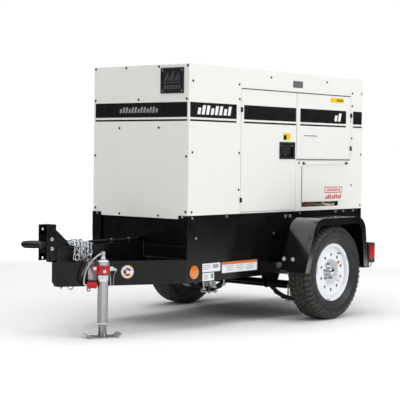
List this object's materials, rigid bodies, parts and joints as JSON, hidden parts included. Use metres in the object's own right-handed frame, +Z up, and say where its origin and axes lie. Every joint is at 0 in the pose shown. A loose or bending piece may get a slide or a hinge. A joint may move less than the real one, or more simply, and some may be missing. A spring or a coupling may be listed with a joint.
{
  "type": "towable diesel generator",
  "caption": "Silenced diesel generator enclosure on a single-axle trailer with towing eye, safety chains, swivel jack, fenders and service doors.",
  "frame": {"origin": "on the ground, under the middle of the whole length and width", "axes": "+X to the rear of the trailer, hitch at -X, +Y to the trailer's right side seen from behind, +Z up"},
  "size_m": [3.146, 1.61, 1.79],
  "materials": {
    "frame_black": "gloss powder coat",
    "enclosure_white": "satin powder coat",
    "zinc": "zinc plated",
    "galvanised_chain": "zinc plated",
    "jack_red": "powder coat",
    "grip_red": "moulded",
    "spring_steel": "black oxide",
    "tyre": "moulded tread",
    "rim_white": "gloss paint",
    "hub_steel": "machined",
    "lens_red": "moulded",
    "lamp_black": "moulded",
    "tank_plastic": "moulded",
    "latch_black": "moulded",
    "panel_grey": "textured",
    "engine_cast": "painted casting",
    "fan_plastic": "moulded",
    "radiator_alu": "matt",
    "exhaust_steel": "aluminised"
  },
  "bodies": {
    "trailer": {"side_rail_left": "frame_black", "side_rail_right": "frame_black", "tongue_leg_left": "frame_black", "tongue_leg_right": "frame_black", "centre_tube": "frame_black", "cross_members": "frame_black", "hitch_channel": "frame_black", "towing_eye": "frame_black", "hitch_bolts": "zinc", "safety_chains": "galvanised_chain", "jack_mount": "zinc", "drop_axle": "frame_black", "leaf_springs": "spring_steel", "spring_hangers": "frame_black", "axle_u_bolts": "zinc", "fender_left": "frame_black", "fender_right": "frame_black", "light_housings": "lamp_black", "light_lenses": "lens_red", "base_pan": "frame_black", "fuel_tank": "tank_plastic", "skirt_bolts": "zinc", "engine_bed": "frame_black", "front_panel": "enclosure_white", "rear_panel": "enclosure_white", "roof": "enclosure_white", "left_side_panel": "enclosure_white", "right_side_panel": "enclosure_white", "badge_plate": "latch_black", "panel_hinges": "enclosure_white", "control_panel": "panel_grey", "engine_block": "engine_cast", "radiator": "radiator_alu", "alternator": "engine_cast", "muffler": "exhaust_steel", "air_cleaner": "lamp_black", "battery": "lamp_black"},
    "left_wheel": {"left_tyre": "tyre", "left_rim": "rim_white", "left_hub": "hub_steel", "left_wheel_nuts": "zinc"},
    "right_wheel": {"right_tyre": "tyre", "right_rim": "rim_white", "right_hub": "hub_steel", "right_wheel_nuts": "zinc"},
    "jack": {"jack_tube": "zinc", "jack_clamp": "jack_red"},
    "ram": {"jack_ram": "zinc", "jack_foot": "zinc"},
    "crank_yoke": {"jack_screw": "zinc"},
    "crank": {"jack_crank": "zinc"},
    "grip": {"crank_grip": "grip_red"},
    "pin": {"pull_pin": "zinc"},
    "main_door": {"left_main_door": "enclosure_white"},
    "control_door": {"left_control_door": "enclosure_white"},
    "cover": {"terminal_cover": "enclosure_white"},
    "service_door": {"right_service_door": "enclosure_white"},
    "main_latch": {"left_latch_handle": "latch_black"},
    "service_latch": {"right_latch_handle": "latch_black"},
    "fan": {"cooling_fan": "fan_plastic"}
  },
  "joints": [
    {"name": "left_wheel_spin", "type": "hinge", "parent": "trailer", "child": "left_wheel", "pos_m": [0.733, -0.6835, 0.343], "axis": [0, 1, 0], "continuous": true},
    {"name": "right_wheel_spin", "type": "hinge", "parent": "trailer", "child": "right_wheel", "pos_m": [0.733, 0.6835, 0.343], "axis": [0, 1, 0], "continuous": true},
    {"name": "jack_swivel", "type": "hinge", "parent": "trailer", "child": "jack", "pos_m": [-1.07265, -0.18265, 0.43], "axis": [-0.4834, -0.8754, 0], "range_deg": [0, 90]},
    {"name": "jack_lift", "type": "slide", "parent": "jack", "child": "ram", "axis": [0, 0, -1], "range_m": [-0.07, 0.19]},
    {"name": "crank_turn", "type": "hinge", "parent": "jack", "child": "crank_yoke", "pos_m": [-1.09199, -0.21767, 0.546], "axis": [0, 0, 1], "range_deg": [-15, 115]},
    {"name": "crank_fold", "type": "hinge", "parent": "crank_yoke", "child": "crank", "pos_m": [-1.09199, -0.21767, 0.546], "axis": [0.4834, 0.8754, 0], "range_deg": [0, 100]},
    {"name": "grip_spin", "type": "hinge", "parent": "crank", "child": "grip", "pos_m": [-1.16027, -0.17996, 0.34019], "axis": [-0.8754, 0.4834, 0], "continuous": true},
    {"name": "pin_pull", "type": "slide", "parent": "jack", "child": "pin", "axis": [0.8754, -0.4834, 0], "range_m": [0, 0.012], "stiffness_N_per_m": 1500, "springref_m": -0.01},
    {"name": "main_door_swing", "type": "hinge", "parent": "trailer", "child": "main_door", "pos_m": [0.031, -0.45, 1.2], "axis": [0, 0, -1], "range_deg": [0, 110]},
    {"name": "control_door_swing", "type": "hinge", "parent": "trailer", "child": "control_door", "pos_m": [1.403, -0.45, 1.4], "axis": [0, 0, 1], "range_deg": [0, 110]},
    {"name": "terminal_cover_lift", "type": "hinge", "parent": "trailer", "child": "cover", "pos_m": [1.054, -0.452, 1.126], "axis": [-1, 0, 0], "range_deg": [0, 95]},
    {"name": "service_door_swing", "type": "hinge", "parent": "trailer", "child": "service_door", "pos_m": [0.031, 0.45, 1.2], "axis": [0, 0, 1], "range_deg": [0, 110]},
    {"name": "main_latch_lift", "type": "hinge", "parent": "main_door", "child": "main_latch", "pos_m": [0.574, -0.434, 1.258], "axis": [-1, 0, 0], "range_deg": [0, 35], "stiffness_Nm_per_rad": 0.6, "springref_deg": -28.65},
    {"name": "service_latch_lift", "type": "hinge", "parent": "service_door", "child": "service_latch", "pos_m": [0.574, 0.434, 1.258], "axis": [1, 0, 0], "range_deg": [0, 35], "stiffness_Nm_per_rad": 0.6, "springref_deg": -28.65},
    {"name": "fan_spin", "type": "hinge", "parent": "trailer", "child": "fan", "pos_m": [-0.179, 0, 1.116], "axis": [1, 0, 0], "continuous": true}
  ]
}
